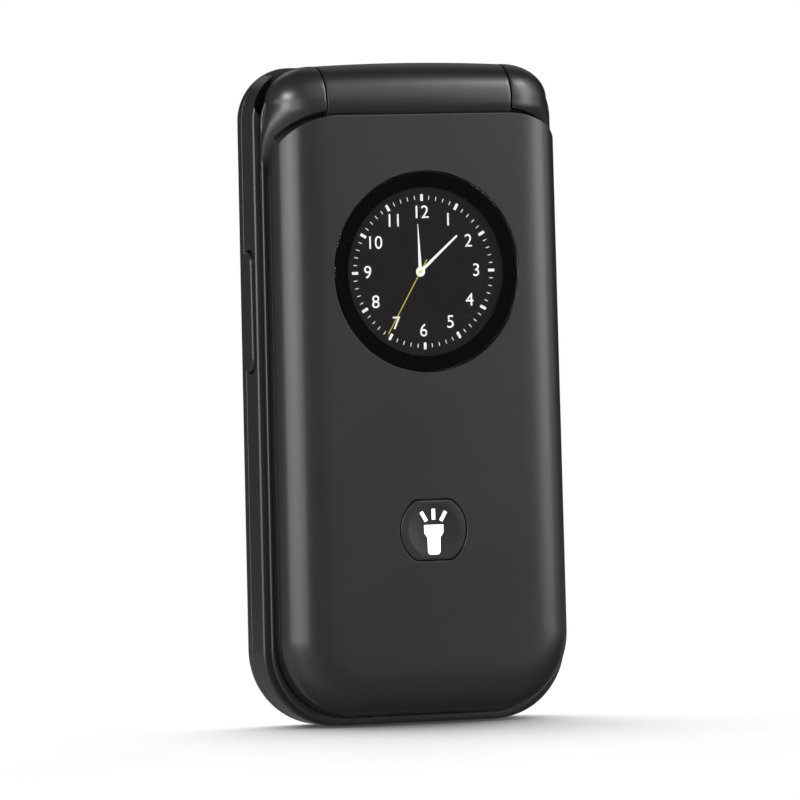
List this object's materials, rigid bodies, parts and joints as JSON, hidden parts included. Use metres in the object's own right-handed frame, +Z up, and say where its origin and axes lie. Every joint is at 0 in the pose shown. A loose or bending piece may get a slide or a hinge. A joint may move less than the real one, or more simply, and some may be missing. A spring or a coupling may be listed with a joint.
{
  "type": "flip phone",
  "caption": "Clamshell mobile phone with a round clock window and a torch key on its lid, a barrel hinge, and a display and keypad inside.",
  "frame": {"origin": "middle of the bottom end, on the surface the phone stands on, half way through its thickness", "axes": "+Z up the phone's length, +Y from the front cover to the back, +X to the right as seen from the front"},
  "size_m": [0.0562, 0.0196, 0.112],
  "materials": {
    "satin_shell": "fine-grained satin black moulding with a soft-touch lacquer",
    "frame_plastic": "moulded dark plastic with a smooth satin surface",
    "key_plastic": "moulded key tops with backlit white legends",
    "window_glass": "polished cover glass",
    "display": "display module behind its polariser",
    "printed_black": "black ink printed on the back of the glass",
    "board": "green solder mask on glass-fibre laminate",
    "steel": "stamped and turned stainless steel",
    "silicone": "moulded silicone rubber",
    "battery_wrap": "plain wrap on the cell, with no printing",
    "moulded_black": "glass-filled black plastic",
    "flex_film": "amber polyimide film",
    "lamp": "yellow phosphor under clear resin"
  },
  "bodies": {
    "base": {"base_housing": "satin_shell", "keypad_frame": "frame_plastic", "camera_window": "window_glass", "main_board": "board", "dome_sheet": "steel", "shield_cans": "steel", "sim_sockets": "steel", "usb_socket": "steel", "microphone": "steel", "vibration_motor": "steel", "base_screws": "steel", "volume_switch": "steel", "hinge_cartridge": "steel", "hinge_pin": "steel", "keypad_mat": "silicone", "battery": "battery_wrap", "battery_contacts": "moulded_black", "antenna": "moulded_black", "loudspeaker": "moulded_black", "camera_module": "moulded_black", "hinge_flex": "flex_film", "torch_led": "lamp"},
    "lid": {"lid_frame": "frame_plastic", "lid_cover": "satin_shell", "window_glass": "window_glass", "window_ring": "printed_black", "dial_display": "display", "torch_switch": "steel", "lid_board": "board", "main_display": "display", "display_glass": "window_glass", "earpiece": "steel", "lid_screws": "steel", "lid_bumpers": "silicone", "lid_magnet": "steel", "hinge_cam_head": "steel"},
    "key_star": {"key_star": "key_plastic"},
    "key_0": {"key_0": "key_plastic"},
    "key_hash": {"key_hash": "key_plastic"},
    "key_7": {"key_7": "key_plastic"},
    "key_8": {"key_8": "key_plastic"},
    "key_9": {"key_9": "key_plastic"},
    "key_4": {"key_4": "key_plastic"},
    "key_5": {"key_5": "key_plastic"},
    "key_6": {"key_6": "key_plastic"},
    "key_1": {"key_1": "key_plastic"},
    "key_2": {"key_2": "key_plastic"},
    "key_3": {"key_3": "key_plastic"},
    "key_soft_left": {"key_soft_left": "key_plastic"},
    "key_soft_right": {"key_soft_right": "key_plastic"},
    "key_call": {"key_call": "key_plastic"},
    "key_end": {"key_end": "key_plastic"},
    "nav_ring": {"nav_ring": "key_plastic"},
    "key_ok": {"key_ok": "key_plastic"},
    "torch_key": {"torch_key": "satin_shell"},
    "volume_rocker": {"volume_rocker": "frame_plastic"},
    "battery_cover": {"battery_cover": "satin_shell"}
  },
  "joints": [
    {"name": "lid_hinge", "type": "hinge", "parent": "base", "child": "lid", "pos_m": [0, -0.00245, 0.1056], "axis": [-1, 0, 0], "range_deg": [0, 160]},
    {"name": "press_key_star", "type": "slide", "parent": "base", "child": "key_star", "axis": [0, 1, 0], "range_m": [0, 0.0003], "stiffness_N_per_m": 2000},
    {"name": "press_key_0", "type": "slide", "parent": "base", "child": "key_0", "axis": [0, 1, 0], "range_m": [0, 0.0003], "stiffness_N_per_m": 2000},
    {"name": "press_key_hash", "type": "slide", "parent": "base", "child": "key_hash", "axis": [0, 1, 0], "range_m": [0, 0.0003], "stiffness_N_per_m": 2000},
    {"name": "press_key_7", "type": "slide", "parent": "base", "child": "key_7", "axis": [0, 1, 0], "range_m": [0, 0.0003], "stiffness_N_per_m": 2000},
    {"name": "press_key_8", "type": "slide", "parent": "base", "child": "key_8", "axis": [0, 1, 0], "range_m": [0, 0.0003], "stiffness_N_per_m": 2000},
    {"name": "press_key_9", "type": "slide", "parent": "base", "child": "key_9", "axis": [0, 1, 0], "range_m": [0, 0.0003], "stiffness_N_per_m": 2000},
    {"name": "press_key_4", "type": "slide", "parent": "base", "child": "key_4", "axis": [0, 1, 0], "range_m": [0, 0.0003], "stiffness_N_per_m": 2000},
    {"name": "press_key_5", "type": "slide", "parent": "base", "child": "key_5", "axis": [0, 1, 0], "range_m": [0, 0.0003], "stiffness_N_per_m": 2000},
    {"name": "press_key_6", "type": "slide", "parent": "base", "child": "key_6", "axis": [0, 1, 0], "range_m": [0, 0.0003], "stiffness_N_per_m": 2000},
    {"name": "press_key_1", "type": "slide", "parent": "base", "child": "key_1", "axis": [0, 1, 0], "range_m": [0, 0.0003], "stiffness_N_per_m": 2000},
    {"name": "press_key_2", "type": "slide", "parent": "base", "child": "key_2", "axis": [0, 1, 0], "range_m": [0, 0.0003], "stiffness_N_per_m": 2000},
    {"name": "press_key_3", "type": "slide", "parent": "base", "child": "key_3", "axis": [0, 1, 0], "range_m": [0, 0.0003], "stiffness_N_per_m": 2000},
    {"name": "press_key_soft_left", "type": "slide", "parent": "base", "child": "key_soft_left", "axis": [0, 1, 0], "range_m": [0, 0.0003], "stiffness_N_per_m": 2000},
    {"name": "press_key_soft_right", "type": "slide", "parent": "base", "child": "key_soft_right", "axis": [0, 1, 0], "range_m": [0, 0.0003], "stiffness_N_per_m": 2000},
    {"name": "press_key_call", "type": "slide", "parent": "base", "child": "key_call", "axis": [0, 1, 0], "range_m": [0, 0.0003], "stiffness_N_per_m": 2000},
    {"name": "press_key_end", "type": "slide", "parent": "base", "child": "key_end", "axis": [0, 1, 0], "range_m": [0, 0.0003], "stiffness_N_per_m": 2000},
    {"name": "press_nav_ring", "type": "slide", "parent": "base", "child": "nav_ring", "axis": [0, 1, 0], "range_m": [0, 0.0003], "stiffness_N_per_m": 2000},
    {"name": "press_key_ok", "type": "slide", "parent": "base", "child": "key_ok", "axis": [0, 1, 0], "range_m": [0, 0.0003], "stiffness_N_per_m": 2000},
    {"name": "press_torch_key", "type": "slide", "parent": "lid", "child": "torch_key", "axis": [0, 1, 0], "range_m": [0, 0.0003], "stiffness_N_per_m": 2000},
    {"name": "rock_volume", "type": "hinge", "parent": "base", "child": "volume_rocker", "pos_m": [-0.02599, 0.00235, 0.0704], "axis": [0, 1, 0], "range_deg": [-1.5, 1.5], "stiffness_Nm_per_rad": 0.6},
    {"name": "lift_battery_cover", "type": "slide", "parent": "base", "child": "battery_cover", "axis": [0, 1, 0], "range_m": [0, 0.012]}
  ]
}
